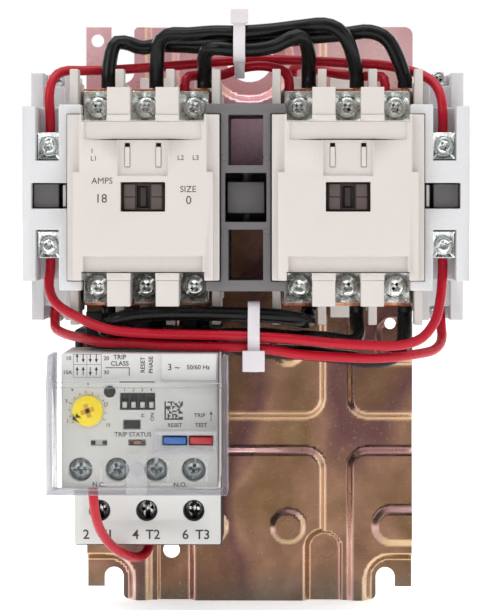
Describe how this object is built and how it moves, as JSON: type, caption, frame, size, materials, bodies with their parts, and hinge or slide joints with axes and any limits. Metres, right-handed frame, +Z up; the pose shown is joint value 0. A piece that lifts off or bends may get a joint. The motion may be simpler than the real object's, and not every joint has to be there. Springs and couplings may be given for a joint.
{
  "type": "magnetic motor starter",
  "caption": "Open reversing magnetic motor starter: paired contactors with a mechanical interlock and an electronic overload relay, wired on a pressed steel mounting plate.",
  "frame": {"origin": "on the mounting panel, at the middle of the flat ring of the plate's upper foot, just under the upper screw notch", "axes": "+Z up the mounted starter, +Y into the panel so the front faces -Y, +X to the right seen from the front"},
  "size_m": [0.134, 0.098, 0.1875],
  "materials": {
    "yellow_zinc_steel": "yellow-passivated zinc plate on pressed steel, brown and pink sheen",
    "black_plastic": "fine matt moulding",
    "laminated_iron": "stacked laminations with a ground pole face",
    "coil_wrap": "taped and varnished winding",
    "brown_plastic": "dark brown thermoset moulding",
    "beige_plastic": "warm off-white moulding, fine grain",
    "zinc_plated_steel": "bright zinc, scratched at the screw slots",
    "grey_plastic": "mid-grey moulding",
    "pale_grey_plastic": "cool light grey moulding",
    "white_plastic": "light grey-white moulding",
    "clear_plastic": "clear polycarbonate, faint violet at the edges",
    "yellow_plastic": "bright yellow knob",
    "blue_plastic": "blue button",
    "red_plastic": "red button",
    "orange_plastic": "orange flag",
    "black_insulation": "black thermoplastic insulation",
    "red_insulation": "red thermoplastic insulation",
    "natural_nylon": "natural nylon"
  },
  "bodies": {
    "starter": {"baseplate": "yellow_zinc_steel", "forward_base": "beige_plastic", "forward_core": "laminated_iron", "forward_coil": "coil_wrap", "forward_cover": "beige_plastic", "forward_line_terminal_1": "zinc_plated_steel", "forward_line_terminal_2": "zinc_plated_steel", "forward_line_terminal_3": "zinc_plated_steel", "forward_load_terminal_1": "zinc_plated_steel", "forward_load_terminal_2": "zinc_plated_steel", "forward_load_terminal_3": "zinc_plated_steel", "reverse_base": "beige_plastic", "reverse_core": "laminated_iron", "reverse_coil": "coil_wrap", "reverse_cover": "beige_plastic", "reverse_line_terminal_1": "zinc_plated_steel", "reverse_line_terminal_2": "zinc_plated_steel", "reverse_line_terminal_3": "zinc_plated_steel", "reverse_load_terminal_1": "zinc_plated_steel", "reverse_load_terminal_2": "zinc_plated_steel", "reverse_load_terminal_3": "zinc_plated_steel", "interlock_frame": "grey_plastic", "left_aux_housing": "pale_grey_plastic", "right_aux_housing": "pale_grey_plastic", "overload_base": "black_plastic", "overload_load_terminal_1": "zinc_plated_steel", "overload_load_terminal_2": "zinc_plated_steel", "overload_load_terminal_3": "zinc_plated_steel", "overload_transformer_block": "coil_wrap", "overload_housing": "white_plastic", "line_jumper_1": "black_insulation", "line_jumper_2": "black_insulation", "line_jumper_3": "black_insulation", "load_jumper_1": "black_insulation", "load_jumper_2": "black_insulation", "load_jumper_3": "black_insulation", "control_wire_1": "red_insulation", "control_wire_2": "red_insulation", "control_wire_3": "red_insulation", "control_wire_4": "red_insulation", "control_wire_5": "red_insulation", "control_wire_6": "red_insulation", "upper_cable_tie": "natural_nylon", "lower_cable_tie": "natural_nylon"},
    "forward_carrier": {"forward_carrier": "brown_plastic", "forward_armature": "laminated_iron"},
    "reverse_carrier": {"reverse_carrier": "brown_plastic", "reverse_armature": "laminated_iron"},
    "left_aux_plunger": {"left_aux_plunger": "grey_plastic"},
    "right_aux_plunger": {"right_aux_plunger": "grey_plastic"},
    "interlock_rocker": {"interlock_rocker": "grey_plastic"},
    "overload_cover": {"overload_cover": "clear_plastic"},
    "overload_dial": {"overload_dial": "yellow_plastic"},
    "overload_reset_button": {"overload_reset_button": "blue_plastic"},
    "overload_test_button": {"overload_test_button": "red_plastic"},
    "overload_trip_flag": {"overload_trip_flag": "orange_plastic"},
    "overload_switch_1": {"overload_switch_1": "white_plastic"},
    "overload_switch_2": {"overload_switch_2": "white_plastic"},
    "overload_switch_3": {"overload_switch_3": "white_plastic"},
    "overload_switch_4": {"overload_switch_4": "white_plastic"}
  },
  "joints": [
    {"name": "forward_contact_slide", "type": "slide", "parent": "starter", "child": "forward_carrier", "axis": [0, 1, 0], "range_m": [0, 0.005], "stiffness_N_per_m": 300, "springref_m": -0.005},
    {"name": "reverse_contact_slide", "type": "slide", "parent": "starter", "child": "reverse_carrier", "axis": [0, 1, 0], "range_m": [0, 0.005], "stiffness_N_per_m": 300, "springref_m": -0.005},
    {"name": "left_aux_slide", "type": "slide", "parent": "starter", "child": "left_aux_plunger", "axis": [0, 1, 0], "range_m": [0, 0.005]},
    {"name": "right_aux_slide", "type": "slide", "parent": "starter", "child": "right_aux_plunger", "axis": [0, 1, 0], "range_m": [0, 0.005]},
    {"name": "interlock_rock", "type": "hinge", "parent": "starter", "child": "interlock_rocker", "pos_m": [0, -0.0715, -0.03555], "axis": [0, 0, 1], "range_deg": [-3, 3]},
    {"name": "cover_pull_off", "type": "slide", "parent": "starter", "child": "overload_cover", "axis": [0, -1, 0], "range_m": [0, 0.03]},
    {"name": "current_dial_turn", "type": "hinge", "parent": "starter", "child": "overload_dial", "pos_m": [-0.047, -0.092, -0.0991], "axis": [0, 1, 0], "range_deg": [-10, 240]},
    {"name": "reset_press", "type": "slide", "parent": "starter", "child": "overload_reset_button", "axis": [0, 1, 0], "range_m": [0, 0.002], "stiffness_N_per_m": 400, "springref_m": -0.001},
    {"name": "test_press", "type": "slide", "parent": "starter", "child": "overload_test_button", "axis": [0, 1, 0], "range_m": [0, 0.002], "stiffness_N_per_m": 400, "springref_m": -0.001},
    {"name": "trip_flag_slide", "type": "slide", "parent": "starter", "child": "overload_trip_flag", "axis": [1, 0, 0], "range_m": [0, 0.0012]},
    {"name": "switch_1_slide", "type": "slide", "parent": "starter", "child": "overload_switch_1", "axis": [0, 0, 1], "range_m": [0, 0.0022]},
    {"name": "switch_2_slide", "type": "slide", "parent": "starter", "child": "overload_switch_2", "axis": [0, 0, 1], "range_m": [0, 0.0022]},
    {"name": "switch_3_slide", "type": "slide", "parent": "starter", "child": "overload_switch_3", "axis": [0, 0, 1], "range_m": [0, 0.0022]},
    {"name": "switch_4_slide", "type": "slide", "parent": "starter", "child": "overload_switch_4", "axis": [0, 0, 1], "range_m": [0, 0.0022]}
  ],
  "couplings": [
    {"joint": "left_aux_slide", "follows": "forward_contact_slide", "ratio": 1},
    {"joint": "right_aux_slide", "follows": "reverse_contact_slide", "ratio": 1}
  ]
}
